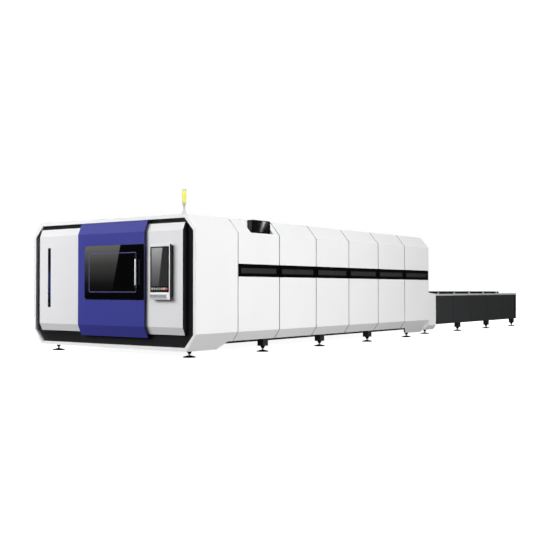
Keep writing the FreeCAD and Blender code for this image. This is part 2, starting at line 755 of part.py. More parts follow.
# Base beams under the bed, cross beams at each portal, and gussets out to the posts
baseTop = bayFloor + 96
baseLow = bayFloor - 50
baseOut = halfWidth - 290
bracketTop = bayFloor - 4
bracketThick = 20
baseWide = 100
base = []
for side, across in (("right", (baseOut - baseWide, baseOut)), ("left", (-baseOut, baseWide - baseOut))):
    base.append(block(f"base_beam_{side}", across, (ringDepth + skin, skirtEnd - 20),
                      (baseLow, baseTop)))
for number in range(BAYS + 1):
    span = (portals[number], portals[number] + tube)
    base.append(block(f"base_cross_{number}", (baseWide - baseOut, baseOut - baseWide), span,
                      (baseLow, baseTop)))
    inner = inwards(skirtLine if number in (0, BAYS) else bayLine, tubeIn)
    tuck = (inner[1][0] - inner[0][0]) / (inner[1][1] - inner[0][1])
    gussetLow = baseTop - 26
    corners = [(baseOut, gussetLow), (inner[0][0] + (gussetLow - inner[0][1]) * tuck, gussetLow),
               (inner[0][0] + (baseTop - inner[0][1]) * tuck, baseTop), (baseOut, baseTop)]
    for side, shape in (("right", corners), ("left", mirrored(corners))):
        base.append(prism(f"gusset_{number}_{side}", "XZ_Plane", span[0], span[1], [shape]))
group("housing_frame", members + base)

# Feet: bay feet stand outside the base beams on brackets, end feet under the beams
screwRadius = 12
padTall = 12
coneTall = 20
collarLow = 60
brackets = []
pads = []


def foot(name, x, y, top, wide, outward):
    """A levelling foot under a square block; outward, its plate reaches the base beam."""
    pads.append(round_(f"{name}_pad", "Z", padSize / 2, padTall, x, y, 0))
    pads.append(round_(f"{name}_cone", "Z", padSize / 2, coneTall, x, y, padTall, 40))
    pads.append(round_(f"{name}_screw", "Z", screwRadius, collarLow - padTall - coneTall,
                       x, y, padTall + coneTall))
    pads.append(round_(f"{name}_collar", "Z", 25, 43, x, y, collarLow, 45))
    brackets.append(block(f"{name}_block", (asSize(x) - wide / 2, asSize(x) + wide / 2),
                          (asSize(y) - wide / 2 - 8, asSize(y) + wide / 2 + 8),
                          (collarLow + 43, top)))
    if outward is not None:
        across = sorted((asSize(x) + wide / 2 * outward, outward * baseOut),
                        key=lambda size: size.value)
        brackets.append(block(f"{name}_plate", across, (asSize(y) - wide / 2, asSize(y) + wide / 2),
                              (top, bracketTop)))


footPitch = (skirtRear + 42 - 140) / 4
frontFoot = 190
frontFootLeft = 1450
endFootX = baseOut - 12
bayFeet = [140 + footPitch * number for number in (1, 2, 3)]
endFoot = skirtRear + 245
for side in (1, -1):
    for number, place in enumerate(bayFeet):
        foot(f"bay_foot_{side}_{number}", side * footSpan, place,
             bracketTop - bracketThick, footBlock, side)
    foot(f"end_foot_{side}", side * endFootX, endFoot, baseLow, 80, None)
foot("front_foot_right", endFootX, frontFoot, baseLow, 80, None)
foot("front_foot_left", -frontFootLeft, frontFoot - 50, baseLow, 80, None)

# --- Rear wall and the lower rear covers -------------------------------------

portHalf = tableHalf - 20
portBottom, portTop = tableFloor + 300, railTop + 110
portCorners = [(-portHalf, portBottom), (portHalf, portBottom), (portHalf, portTop),
               (-portHalf, portTop)]
rearLine = wallCorners(skirtLine)
tuck = (rearLine[1][0] - rearLine[0][0]) / (rearLine[1][1] - rearLine[0][1])
rearFloor = baseTop + 4
rearLine[0] = (rearLine[0][0] + (rearFloor - rearLine[0][1]) * tuck, rearFloor)
rearOutline = rearLine + list(reversed(mirrored(rearLine)))
keep(prism("rear_wall", "XZ_Plane", housingEnd - skin, housingEnd, [rearOutline, portCorners]),
     "rear_wall")

coverLow, coverBend = 156, 256
coverHigh, coverDrop = railTop + 36, 32
covers = []
for side in (1, -1):
    corners = [(side * tableHalf, coverLow), (side * (halfWidth - 75), coverLow),
               (side * halfWidth, coverBend), (side * halfWidth, coverHigh),
               (side * tableHalf, coverHigh)]
    cover = prism(f"rear_cover_{side}", "XZ_Plane", housingEnd, skirtEnd, [corners])
    slope = sketchOn(cover, f"slope_outline_{side}", "YZ_Plane", -halfWidth - 5)
    outline(slope, [(frontY + housingEnd + 50, coverHigh), (frontY + skirtEnd, coverHigh - coverDrop),
                    (frontY + skirtEnd + 5, coverHigh + 5), (frontY + housingEnd + 50, coverHigh + 5)])
    trim = cover.newObject("PartDesign::Pocket", f"slope_{side}")
    trim.Profile = slope
    trim.Reversed = True
    bind(trim, "Length", housingWidth + 10)
    covers.append(hollow(cover, [(0, 0, -1), (0, -1, 0)]))
group("rear_covers", covers)

# --- Cutting bed -------------------------------------------------------------

bedWall = 120
bedStart, bedEnd = 350, housingEnd - 200
beds = []
for side, across in (("right", (bedHalf - bedWall, bedHalf)), ("left", (-bedHalf, bedWall - bedHalf))):
    beds.append(block(f"bed_{side}", across, (bedStart, bedEnd), (baseTop, bedTop)))
group("bed_beams", beds)

railWide, railTall = 30, 26
railX = bedHalf - bedWall / 2
guides = [block(f"guide_{side}", (side * railX - railWide / 2, side * railX + railWide / 2),
                (bedStart, bedEnd), (bedTop, bedTop + railTall)) for side in (1, -1)]
rackWide = 20
for side in (1, -1):
    middle = side * (bedHalf - 10)
    guides.append(block(f"rack_{side}", (middle - rackWide / 2, middle + rackWide / 2),
                        (bedStart, bedEnd), (bedTop, bedTop + 24)))
group("gantry_rails", guides)

# Pallet tracks run on from the bed into the exchange table, at two levels
wheelRadius, wheelWide = 50, 36
axleRadius = 15
upperTop = railTop + 57
levels = {"upper": upperTop, "lower": upperTop - palletDrop}
slatThick = 4
slatDrop = 60
barDrop = 5
wheelX = palletHalf + 10
axleDrop = palletTall + 22
tracks = []
tableStart = skirtEnd
trackEnd = tableEnd - 150
for level, top in levels.items():
    low = top - axleDrop - wheelRadius - runGap
    for side in (1, -1):
        for name, wall, span in (("bed", bedHalf - bedWall, (bedStart, bedEnd)),
                                 ("table", tableHalf - 30, (bedEnd, trackEnd))):
            across = sorted((side * asSize(wheelX), side * asSize(wall)),
                            key=lambda size: size.value)
            tracks.append(block(f"track_{level}_{name}_{side}", across, span, (low - 20, low)))
group("pallet_tracks", tracks)

# --- Exchange table ----------------------------------------------------------

tableFrame = []
tableFeet = [tableEnd - 232 - 1935 * number for number in range(4)]
postWide = 60
for side in (1, -1):
    for number, place in enumerate(tableFeet):
        across = sorted((side * (tableHalf - 30), side * (tableHalf - 30 - postWide)),
                        key=lambda size: size.value)
        base = levels["lower"] - axleDrop - wheelRadius - 20 - runGap
        tableFrame.append(block(f"post_{side}_{number}", across,
                                (place - postWide / 2, place + postWide / 2), (tableFloor, base)))
        across = sorted((side * (tableHalf - 30), side * (tableHalf - 55)),
                        key=lambda size: size.value)
        tableFrame.append(block(f"riser_{side}_{number}", across,
                                (place - postWide / 2, place + postWide / 2),
                                (base + 20, base + palletDrop)))
for number, place in enumerate(tableFeet):
    inside = tableHalf - 30 - postWide
    tableFrame.append(block(f"sleeper_{number}", (-inside, inside),
                            (place - postWide / 2, place + postWide / 2),
                            (tableFloor, tableFloor + postWide)))
group("table_frame", tableFrame)

sides = []
for side in (1, -1):
    corners = [(side * (tableHalf - 30), tableFloor), (side * tableHalf, tableFloor),
               (side * tableHalf, tableTop), (side * (tableHalf - 30), tableTop)]
    board = prism(f"table_side_{side}", "XZ_Plane", tableStart, tableEnd, [corners])
    sides.append(hollow(board, [(-side, 0, 0)]))
sides.append(block("table_end", (-(tableHalf - 30), tableHalf - 30), (tableEnd - skin, tableEnd),
                   (tableFloor, tableTop)))
group("table_panels", sides)

# Rails on the side panels, with small pointed guides that centre the pallets
rails = []
guideStart, guidePitch = tableEnd - 5378, 965
for side in (1, -1):
    across = sorted((side * (tableHalf - 30), side * tableHalf), key=lambda size: size.value)
    rails.append(block(f"table_rail_{side}", across, (tableStart, tableEnd), (tableTop, railTop)))
    for number in range(5):
        middle = frontY + guideStart + guidePitch * number
        peak = [(middle - 50, railTop), (middle + 50, railTop), (middle, railTop + 45)]
        inner = side * (tableHalf - 16)
        across = sorted((inner, side * tableHalf), key=lambda size: size.value)
        rails.append(prism(f"pointer_{side}_{number}", "YZ_Plane", across[0], across[1], [peak]))
group("table_rails", rails)
for side in (1, -1):
    for number, place in enumerate(tableFeet):
        foot(f"table_foot_{side}_{number}", side * (tableHalf - 60), place, tableFloor, 118, None)
group("foot_brackets", brackets)
group("levelling_feet", pads)

# Gear motor and cross shaft that pull the pallets over
driveY = tableFeet[0]
shaftZ = tableFloor + postWide + 90
drive = [block("drive_box", (-120, 120), (driveY - 60, driveY + 60),
               (tableFloor + postWide, shaftZ + 70)),
         round_("drive_motor", "X", 65, 260, 120, driveY, shaftZ)]
group("exchange_drive", drive)

# --- Pallets -----------------------------------------------------------------


def pallet(level, top, start):
    """A slatted pallet on two wheelsets; it starts at a place along Y."""
    end = start + sheetLength
    low, high = top - palletTall, top - slatDrop
    wide = 80
    parts = [block(f"{level}_side_{side}", sorted((side * palletHalf, side * (palletHalf - wide)),
                                                  key=lambda size: size.value),
                   (start, end), (low, top - barDrop)) for side in (1, -1)]
    inside = palletHalf - wide
    for number, share in enumerate((0, 0.2, 0.4, 0.6, 0.8, 1)):
        place = start + (sheetLength - wide) * share
        crossTop = top - barDrop if share in (0, 1) else high
        parts.append(block(f"{level}_cross_{number}", (-inside, inside), (place, place + wide),
                           (low, crossTop)))
    group(f"{level}_pallet", parts)
    teeth = 24
    toothWide = inside * 2 / teeth
    left = -inside
    corners = [(left, high), (inside, high), (inside, top - 20)]
    for tooth in range(teeth - 1, -1, -1):
        corners.append((left + toothWide * (tooth + 0.5), top))
        corners.append((left + toothWide * tooth, top - 20))
    first = start + slatPitch
    slats = prism(f"{level}_slats", "XZ_Plane", first, first + slatThick, [corners])
    row = slats.newObject("PartDesign::LinearPattern", f"{level}_slat_row")
    row.Originals = [slats.Tip]
    row.Direction = (slats.Tip.Profile[0], ["N_Axis"])
    row.Reversed = True
    count = int(sheetLength.value // slatPitch.value) - 1
    row.Occurrences = count
    bind(row, "Length", slatPitch * (count - 1))
    slats.Tip = row
    keep(slats, f"{level}_slats")
    bearings = []
    for number, place in enumerate((start + 600, end - 600)):
        axle = round_(f"{level}_axle_{number}", "X", axleRadius, wheelX * 2, -wheelX, place,
                      top - axleDrop)
        wheels = [round_(f"{level}_wheel_{number}_{side}", "X", wheelRadius, wheelWide,
                         wheelX if side > 0 else -wheelX - wheelWide, place, top - axleDrop)
                  for side in (1, -1)]
        keep(fuse(f"{level}_wheelset_{number + 1}", [axle] + wheels),
             f"{level}_wheelset_{number + 1}")
        for side in (1, -1):
            across = sorted((side * (palletHalf - 10), side * (palletHalf - 60)),
                            key=lambda size: size.value)
            seat = block(f"{level}_seat_{number}_{side}", across, (place - 30, place + 30),
                         (top - axleDrop - 28, low))
            bore = round_(f"{level}_bore_{number}_{side}", "X", axleRadius + runGap,
                          70, across[0] - 10, place, top - axleDrop)
            bearings.append(cut(f"{level}_bearing_{number}_{side}", seat, [bore]))
    group(f"{level}_bearings", bearings)


insideStart = housingEnd - 480 - sheetLength
exchangeTravel = skirtEnd - 460 - insideStart
pallet("upper", levels["upper"], insideStart + exchangeTravel)
pallet("lower", levels["lower"], insideStart)

# --- Gantry, carriage and cutting head ---------------------------------------

gantryY = asSize(900)
beamLow, beamHigh = bedTop + 110, bedTop + 330
beamDeep = 220
bridge = [block("bridge", (-railX - 40, railX + 40), (gantryY, gantryY + beamDeep),
                (beamLow, beamHigh))]
for side in (1, -1):
    bridge.append(block(f"gantry_foot_{side}", (side * railX - 40, side * railX + 40),
                        (gantryY - 60, gantryY + beamDeep + 60),
                        (bedTop + railTall + runGap, beamLow)))
    bridge.append(round_(f"gantry_motor_{side}", "Z", 45, 160, side * railX,
                         gantryY + beamDeep / 2, beamHigh))
group("gantry_beam", bridge)

carriageDeep = 120
carriageFront = gantryY - runGap - carriageDeep
keep(block("gantry_carriage", (-150, 150), (carriageFront, gantryY - runGap),
           (beamLow - 20, beamHigh + 60)), "gantry_carriage")

headFront = carriageFront - runGap - 90
headY = headFront + 45
head = [block("head_body", (-60, 60), (headFront, headFront + 90), (beamLow + 20, beamHigh + 120)),
        round_("head_barrel", "Z", 34, 60, 0, headY, beamLow - 40),
        round_("head_nozzle", "Z", 8, 70, 0, headY, beamLow - 110, 34)]
keep(fuse("cutting_head", head), "cutting_head")

doc.recompute()
for item in doc.Objects:
    if "Invalid" in item.State or "Error" in item.State:
        raise RuntimeError(f"{item.Label} did not build: {item.State}")
for body in bodies:
    if body.Shape.isNull() or not body.Shape.isValid():
        raise RuntimeError(f"{body.Label} has no valid shape")
os.makedirs("parts", exist_ok=True)
for body in bodies:
    body.Shape.exportStep(f"parts/{body.Label}.step")
print(len(bodies), "sub-parts")
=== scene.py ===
import json
import math
import bmesh
import bpy
from mathutils import Matrix, Vector


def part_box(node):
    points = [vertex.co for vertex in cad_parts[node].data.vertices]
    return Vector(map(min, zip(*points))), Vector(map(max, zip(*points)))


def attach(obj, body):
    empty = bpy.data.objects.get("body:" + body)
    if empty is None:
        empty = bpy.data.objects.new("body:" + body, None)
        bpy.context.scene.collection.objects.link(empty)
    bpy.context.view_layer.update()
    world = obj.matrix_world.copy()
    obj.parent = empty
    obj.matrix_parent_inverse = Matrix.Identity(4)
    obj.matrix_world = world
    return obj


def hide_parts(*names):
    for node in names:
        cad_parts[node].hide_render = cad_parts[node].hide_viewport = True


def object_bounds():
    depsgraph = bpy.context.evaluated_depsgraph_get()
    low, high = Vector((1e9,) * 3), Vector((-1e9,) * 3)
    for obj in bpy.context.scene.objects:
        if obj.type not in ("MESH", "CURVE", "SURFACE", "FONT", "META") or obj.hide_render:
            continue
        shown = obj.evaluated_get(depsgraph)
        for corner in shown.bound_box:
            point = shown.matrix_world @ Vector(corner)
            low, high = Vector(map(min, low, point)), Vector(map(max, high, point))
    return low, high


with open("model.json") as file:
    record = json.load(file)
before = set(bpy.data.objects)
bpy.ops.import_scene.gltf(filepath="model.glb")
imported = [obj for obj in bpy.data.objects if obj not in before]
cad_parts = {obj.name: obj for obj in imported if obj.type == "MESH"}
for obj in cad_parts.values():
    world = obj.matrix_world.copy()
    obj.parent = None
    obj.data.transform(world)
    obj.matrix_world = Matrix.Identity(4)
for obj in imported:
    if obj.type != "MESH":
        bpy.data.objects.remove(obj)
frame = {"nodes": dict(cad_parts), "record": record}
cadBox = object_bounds()
owner = {node: body for body, nodes in frame["record"]["behaviour"]["bodies"].items()
         for node in nodes}
print("frame loaded,", len(frame["nodes"]), "nodes")

# Node trees are written as sums on sockets


class Wire:
    def __init__(self, tree, socket=None):
        self.tree = tree
        self.socket = socket

    def node(self, kind, settings=None, values=None, out=0):
        made = self.tree.nodes.new(kind)
        for key, value in (settings or {}).items():
            if key == "stops":
                stops = made.color_ramp.elements
                stops.remove(stops[1])
                stops[0].position, stops[0].color = value[0][0], (*value[0][1], 1)
                for place, shade in value[1:]:
                    stops.new(place).color = (*shade, 1)
            else:
                setattr(made, key, value)
        for key, value in (values or {}).items():
            if isinstance(value, Wire):
                self.tree.links.new(value.socket, made.inputs[key])
            else:
                made.inputs[key].default_value = value
        return Wire(self.tree, made.outputs[out] if len(made.outputs) else None)

    def sum(self, operation, first, second):
        return self.node("ShaderNodeMath", {"operation": operation}, {0: first, 1: second})

    def __add__(self, other):
        return self.sum("ADD", self, other)

    def __radd__(self, other):
        return self.sum("ADD", other, self)

    def __sub__(self, other):
        return self.sum("SUBTRACT", self, other)

    def __rsub__(self, other):
        return self.sum("SUBTRACT", other, self)

    def __mul__(self, other):
        return self.sum("MULTIPLY", self, other)

    def __truediv__(self, other):
        return self.sum("DIVIDE", self, other)


def tone(text):  # "#rrggbb" to linear light
    steps = [int(text[i:i + 2], 16) / 255 for i in (1, 3, 5)]
    return tuple(s / 12.92 if s < 0.04045 else ((s + 0.055) / 1.055) ** 2.4 for s in steps)


def mixed(share, first, second):
    first, second = ((*c, 1) if isinstance(c, tuple) else c for c in (first, second))
    return share.node("ShaderNodeMix", {"data_type": "RGBA"}, {0: share, 6: first, 7: second}, 2)


def noise(place, scale, detail=2.0, stretch=None):
    if stretch:
        place = place.node("ShaderNodeMapping", None, {"Vector": place, "Scale": stretch})
    return place.node("ShaderNodeTexNoise", None,
                      {"Vector": place, "Scale": scale, "Detail": detail}, "Fac")


def bumped(height, distance, strength=0.5):
    return height.node("ShaderNodeBump", None,
                       {"Height": height, "Distance": distance, "Strength": strength}, "Normal")


def newFinish(name, **values):
    material = bpy.data.materials.new(name)
    material.use_nodes = True
    tree = material.node_tree
    tree.nodes.clear()
    start = Wire(tree)
    place = start.node("ShaderNodeTexCoord", out="Object")
    return material, place, values


def finished(material, place, values):
    keys = {"colour": "Base Color", "rough": "Roughness", "metal": "Metallic", "normal": "Normal",
            "coat": "Coat Weight", "glow": "Emission Color", "glowStrength": "Emission Strength",
            "ior": "IOR"}
    inputs = {keys[key]: (*value, 1) if isinstance(value, tuple) else value
              for key, value in values.items()}
    shader = place.node("ShaderNodeBsdfPrincipled", None, inputs, "BSDF")
    place.node("ShaderNodeOutputMaterial", None, {"Surface": shader})
    return material


# Painted sheet: broad drift of tone, fine orange peel
def powderCoat(name, colour, rough=0.42, peel=0.0002, drift=0.03):
    material, place, values = newFinish(name)
    cloud = noise(place, 1.1, 3)
    values["colour"] = mixed(cloud, tuple(c * (1 - drift) for c in colour),
                             tuple(min(c * (1 + drift), 1) for c in colour))
    values["rough"] = rough + (noise(place, 7, 3) - 0.5) * 0.10
    values["normal"] = bumped(noise(place, 650, 2), peel)
    return finished(material, place, values)


# Bare or anodised metal with a grain along one axis
def brushed(name, colour, rough=0.3, along="y", grain=900, metal=0.35):
    material, place, values = newFinish(name)
    stretch = tuple(0.02 if axis == along else 1.0 for axis in "xyz")
    line = noise(place, grain, 3, stretch)
    values["colour"] = mixed(line, tuple(c * 0.86 for c in colour), tuple(c * 1.06 for c in colour))
    values["rough"] = rough + (line - 0.5) * 0.16
    values["metal"] = metal
    values["normal"] = bumped(line, 0.00005, 0.4)
    return finished(material, place, values)


# Gloss black glass with faint wiping marks
def darkGlass(name, colour, rough=0.03):
    material, place, values = newFinish(name)
    wipe = noise(place, 3, 4, (1.0, 1.0, 0.35))
    values["colour"] = mixed(wipe, colour, tuple(c * 1.5 for c in colour))
    values["rough"] = rough + wipe * 0.012
    values["ior"] = 1.5
    return finished(material, place, values)


def moulded(name, colour, rough=0.45, glow=0.0, ior=1.5):
    material, place, values = newFinish(name)
    grain = noise(place, 1200, 2)
    values["colour"] = mixed(noise(place, 40, 2), tuple(c * 0.93 for c in colour),
                             tuple(min(c * 1.05, 1) for c in colour))
    values["rough"] = rough + (grain - 0.5) * 0.12
    values["normal"] = bumped(grain, 0.00008)
    values["ior"] = ior
    if glow:
        values["glow"] = colour
        values["glowStrength"] = glow
    return finished(material, place, values)


# Slats: mill scale, spatter and heat marks
def cutSteel(name):
    material, place, values = newFinish(name)
    scale = noise(place, 5, 5)
    spot = place.node("ShaderNodeTexVoronoi", None, {"Vector": place, "Scale": 55.0}, "Distance")
    dark = spot.node("ShaderNodeValToRGB", {"stops": [(0.05, (1, 1, 1)), (0.22, (0, 0, 0))]},
                     {"Fac": spot})
    base = mixed(scale, tone("#4a4846"), tone("#6d675f"))
    values["colour"] = mixed(dark, base, tone("#221f1c"))
    values["rough"] = 0.5 + scale * 0.25
    values["metal"] = 0.75
    values["normal"] = bumped(scale, 0.0006)
    return finished(material, place, values)


# Light strip: painted glow, a navy band lightest near the middle between black ends
def stripLens(name, low, high):
    material, place, values = newFinish(name)
    level = place.node("ShaderNodeSeparateXYZ", None, {0: place}, "Z")
    height = (level - low) / (high - low)
    band = height.node("ShaderNodeValToRGB", {"stops": [
        (0.10, tone("#050507")), (0.18, tone("#15183a")), (0.46, tone("#2c3260")),
        (0.60, tone("#191c3c")), (0.74, tone("#050507"))]}, {"Fac": height})
    fleck = noise(place, 30, 3, (1, 1, 0.4))
    values["colour"] = mixed(fleck * 0.12, band, tone("#3b4068"))
    values["rough"] = 0.12 + fleck * 0.08
    values["coat"] = 0.5
    return finished(material, place, values)


# Screen: a dim even grey under the glass
def liquidCrystal(name, colour):
    material, place, values = newFinish(name)
    grid = place.node("ShaderNodeTexChecker", None, {"Vector": place, "Scale": 900.0}, "Fac")
    values["colour"] = mixed(grid, colour, tuple(c * 1.2 for c in colour))
    values["rough"] = 0.01 + noise(place, 4, 2) * 0.01
    values["ior"] = 1.5
    return finished(material, place, values)


paints = {
    "housing": powderCoat("housing_powder", tone("#f2f2f3"), 0.45),
    "front": powderCoat("front_powder", tone("#e6e6e8"), 0.40),
    # Also painted shade on the right front panel's right-facing edge
    "black": powderCoat("recess_powder_and_edge_shade", tone("#212123"), 0.30, 0.0002, 0.10),
    "frame": powderCoat("frame_paint", tone("#2b2b2d"), 0.55, 0.0003, 0.08),
    "blue": powderCoat("door_blue_powder", tone("#3d4092"), 0.38, 0.0002, 0.05),
    "bed": powderCoat("bed_paint", tone("#4a4c50"), 0.5, 0.0004, 0.08),
    "table": powderCoat("table_paint", tone("#3a3b3c"), 0.35, 0.0002, 0.07),
    "pallet": powderCoat("pallet_paint", tone("#0d0d0d"), 0.3, 0.0003, 0.15),
    "gantry": powderCoat("gantry_paint", tone("#d8d8dc"), 0.4),
    "head": powderCoat("head_paint", tone("#3a3a3e"), 0.4),
    "consoleCase": powderCoat("console_texture", tone("#141415"), 0.5, 0.0006, 0.12),
    "silver": brushed("satin_silver", tone("#f4f4f5"), 0.36, "x", metal=0.1),
    "rail": brushed("rail_silver", tone("#dededf"), 0.42, "y", metal=0.15),
    "steel": brushed("ground_steel", tone("#b5b5b8"), 0.3, "y"),
    "bar": brushed("bar_bright", tone("#ffffff"), 0.28, "z", metal=0.15),
    "lampMetal": brushed("lamp_silver", tone("#d4d4d4"), 0.35, "z", metal=0.2),
    # Painted shade: dark navy on the door's right-facing edge
    "navy": powderCoat("door_edge_painted_shade", tone("#0b0b2c"), 0.6, 0.0003, 0.1),
    # Window band black, also used as painted shade inside the side panel joints
    "band": powderCoat("band_black_and_joint_shade", tone("#050505"), 0.14, 0.00005, 0.1),
    "doorGlass": darkGlass("door_glass_tint", (0.0012, 0.0012, 0.0015), 0.004),
    "paneGlass": darkGlass("pane_tint", tone("#2d2d2d"), 0.12),
    "consoleGlass": darkGlass("console_gloss", (0.003, 0.003, 0.003)),
    "displayBlack": darkGlass("display_gloss", (0.003, 0.003, 0.0035), 0.10),
    "displayGlass": darkGlass("display_screen_gloss", (0.003, 0.003, 0.0035), 0.03),
    "lcd": liquidCrystal("console_lcd", (0.030, 0.030, 0.031)),
    "rubber": moulded("black_rubber", tone("#0a0a0a"), 0.6, ior=1.2),
    "footPlastic": moulded("foot_plastic", tone("#050505"), 0.25, ior=1.1),
    "handleDark": moulded("handle_end_plastic", tone("#1a1a1b"), 0.4),
    "inlay": moulded("inlay_line", tone("#5d578c"), 0.35),
    "keys": moulded("key_grey", tone("#8e8e92"), 0.5),
    "yellow": moulded("lamp_yellow", tone("#e8e474"), 0.2, 0.1),
    # Painted light: the buttons, selector and stop carry a faint glow (0.1) that brightens them
    "amber": moulded("button_amber", tone("#dca064"), 0.3, 0.1),
    "cyan": moulded("button_cyan", tone("#62b8c6"), 0.3, 0.1),
    "teal": moulded("button_teal", tone("#45b096"), 0.3, 0.1),
    "grey": moulded("selector_grey", tone("#d8d8d4"), 0.35, 0.1),
    "red": moulded("button_red", tone("#dc6068"), 0.3, 0.1),
    "slats": cutSteel("slat_scale"),
}
lensLow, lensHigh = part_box("slot_lens")
paints["strip"] = stripLens("strip_lens_painted_glow", lensLow[2], lensHigh[2])
print("finishes:", len(paints))

# Every node gets its finish, and its eased copy takes the same one
nodePaint = {
    "housing": ["front_frame", "side_panels_right", "side_panels_left", "roof_panels",
                "rear_wall", "rear_covers", "display_cowl"],
    "front": ["front_panel_left", "front_panel_right"],
    "black": ["front_bulkhead", "front_backings", "door_tracks"],
    "band": ["window_bands"],
    "frame": ["housing_frame", "foot_brackets"],
    "blue": ["door_leaf"],
    "bed": ["bed_beams"],
    "table": ["table_panels", "table_frame"],
    "pallet": ["upper_pallet", "lower_pallet"],
    "gantry": ["gantry_beam", "gantry_carriage"],
    "head": ["cutting_head", "exchange_drive"],
    "consoleCase": ["console_housing"],
    "silver": ["console_bezel", "console_keyboard"],
    "rail": ["table_rails"],
    "steel": ["gantry_rails", "pallet_tracks", "door_runners", "upper_bearings",
              "lower_bearings", "upper_wheelset_1", "upper_wheelset_2", "lower_wheelset_1",
              "lower_wheelset_2"],
    "bar": ["handle_grip"],
    "lampMetal": ["lamp_base", "lamp_cap"],
    "doorGlass": ["door_glass"],
    "paneGlass": ["window_panes"],
    "consoleGlass": ["console_glass"],
    "displayBlack": ["display_housing"],
    "displayGlass": ["display_screen"],
    "lcd": ["console_display"],
    "footPlastic": ["levelling_feet"],
    "handleDark": ["handle_ends"],
    "yellow": ["lamp_lens"],
    "amber": ["button_start", "button_light", "button_reset"],
    "cyan": ["button_pause"],
    "teal": ["button_exchange"],
    "grey": ["mode_selector"],
    "red": ["emergency_stop"],
    "slats": ["upper_slats", "lower_slats"],
    "strip": ["slot_lens"],
}
paintOf = {node: paint for paint, nodes in nodePaint.items() for node in nodes}
for node, piece in frame["nodes"].items():
    piece.data.materials.clear()
    piece.data.materials.append(paints[paintOf[node]])


def newPiece(mesh, name, material):
    data = bpy.data.meshes.new(name)
    mesh.to_mesh(data)
    mesh.free()
    data.materials.append(material)
    piece = bpy.data.objects.new(name, data)
    bpy.context.scene.collection.objects.link(piece)
    return piece


def placed(mesh, name, paint, body):
    piece = newPiece(mesh, name, paints[paint])
    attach(piece, body)
    return piece


easing = {"merge": 0.00002, "flat": 0.5, "sharp": 28, "crease": 40, "segments": 2}


def bent(edge, angle):
    return len(edge.link_faces) == 2 and edge.calc_face_angle() > math.radians(angle)


# A node's copy with eased edges; faces picked by "chosen" take the second finish
def softened(node, width, smooth=False, second=None, chosen=None, cuts=()):
    mesh = bmesh.new()
    mesh.from_mesh(frame["nodes"][node].data)
    bmesh.ops.remove_doubles(mesh, verts=mesh.verts[:], dist=easing["merge"])
    bmesh.ops.dissolve_limit(mesh, angle_limit=math.radians(easing["flat"]),
                             verts=mesh.verts[:], edges=mesh.edges[:])
    for point, normal in cuts:
        bmesh.ops.bisect_plane(mesh, geom=mesh.verts[:] + mesh.edges[:] + mesh.faces[:],
                               plane_co=point, plane_no=normal)
    for face in mesh.faces:
        face.smooth = smooth
        if second:
            face.material_index = int(chosen(face.normal, face.calc_center_median()))
    if width:
        sharp = [edge for edge in mesh.edges if bent(edge, easing["sharp"])]
        eased = bmesh.ops.bevel(mesh, geom=sharp, offset=width, segments=easing["segments"],
                                profile=0.5, affect="EDGES", material=-1, clamp_overlap=True)
        for face in eased["faces"]:
            face.smooth = True
    if smooth:
        for edge in mesh.edges:
            if bent(edge, easing["crease"]):
                edge.smooth = False
    piece = placed(mesh, node + "_eased", paintOf[node], owner[node])
    if second:
        piece.data.materials.append(paints[second])
    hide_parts(node)


sheetEdge = 0.001
edges = {"front_frame": sheetEdge, "front_panel_left": sheetEdge, "side_panels_left": sheetEdge,
         "roof_panels": sheetEdge, "rear_covers": sheetEdge, "display_cowl": sheetEdge,
         "door_glass": 0.002, "display_housing": 0.004, "console_bezel": 0.003,
         "console_keyboard": 0.003, "console_housing": 0.0008, "table_rails": 0.002,
         "upper_pallet": 0.003, "lower_pallet": 0.003, "gantry_beam": 0.006,
         "gantry_carriage": 0.006, "foot_brackets": 0.003, "bed_beams": 0.004}
for node, width in edges.items():
    softened(node, width)

# Painted shade: folded edges towards the right of the machine take a dark finish, navy on the door
# and black on the right panel, darker than the faces
facing = 0.9
for node, shade in (("door_leaf", "navy"), ("front_panel_right", "black")):
    softened(node, sheetEdge, second=shade, chosen=lambda way, spot: way.x > facing)

# The window band runs on in black over the panel joints, and the joint returns get painted shade in
# black
bandLow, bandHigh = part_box("window_bands")
film = {"front": bandLow[1] - 0.017, "rear": bandHigh[1] - 0.005, "low": bandLow[2] - 0.018,
        "high": bandHigh[2] + 0.016, "inner": 1.93}


# Band faces get the band's black; joint returns get it as painted shade
def blackened(way, spot):
    inBand = spot.x > film["inner"] and film["low"] < spot.z < film["high"]
    return film["front"] < spot.y < film["rear"] and (abs(way.y) > facing or inBand)


softened("side_panels_right", sheetEdge, second="band", chosen=blackened,
         cuts=[((0, 0, film["low"]), (0, 0, 1)), ((0, 0, film["high"]), (0, 0, 1)),
               ((0, film["rear"], 0), (0, 1, 0))])
rounds = {"handle_grip": 0.001, "handle_ends": 0, "lamp_base": 0.001, "lamp_lens": 0.001,
          "lamp_cap": 0.003, "levelling_feet": 0.002, "upper_wheelset_1": 0.001,
          "upper_wheelset_2": 0.001, "lower_wheelset_1": 0.001, "lower_wheelset_2": 0.001,
          "cutting_head": 0.001, "exchange_drive": 0.002, "button_start": 0.002,
          "button_pause": 0.002, "button_light": 0.002, "button_exchange": 0.002,
          "button_reset": 0.002, "mode_selector": 0.001, "emergency_stop": 0.002}
for node, width in rounds.items():
    softened(node, width, True)
print("eased copies:", len(edges) + len(rounds) + 3)


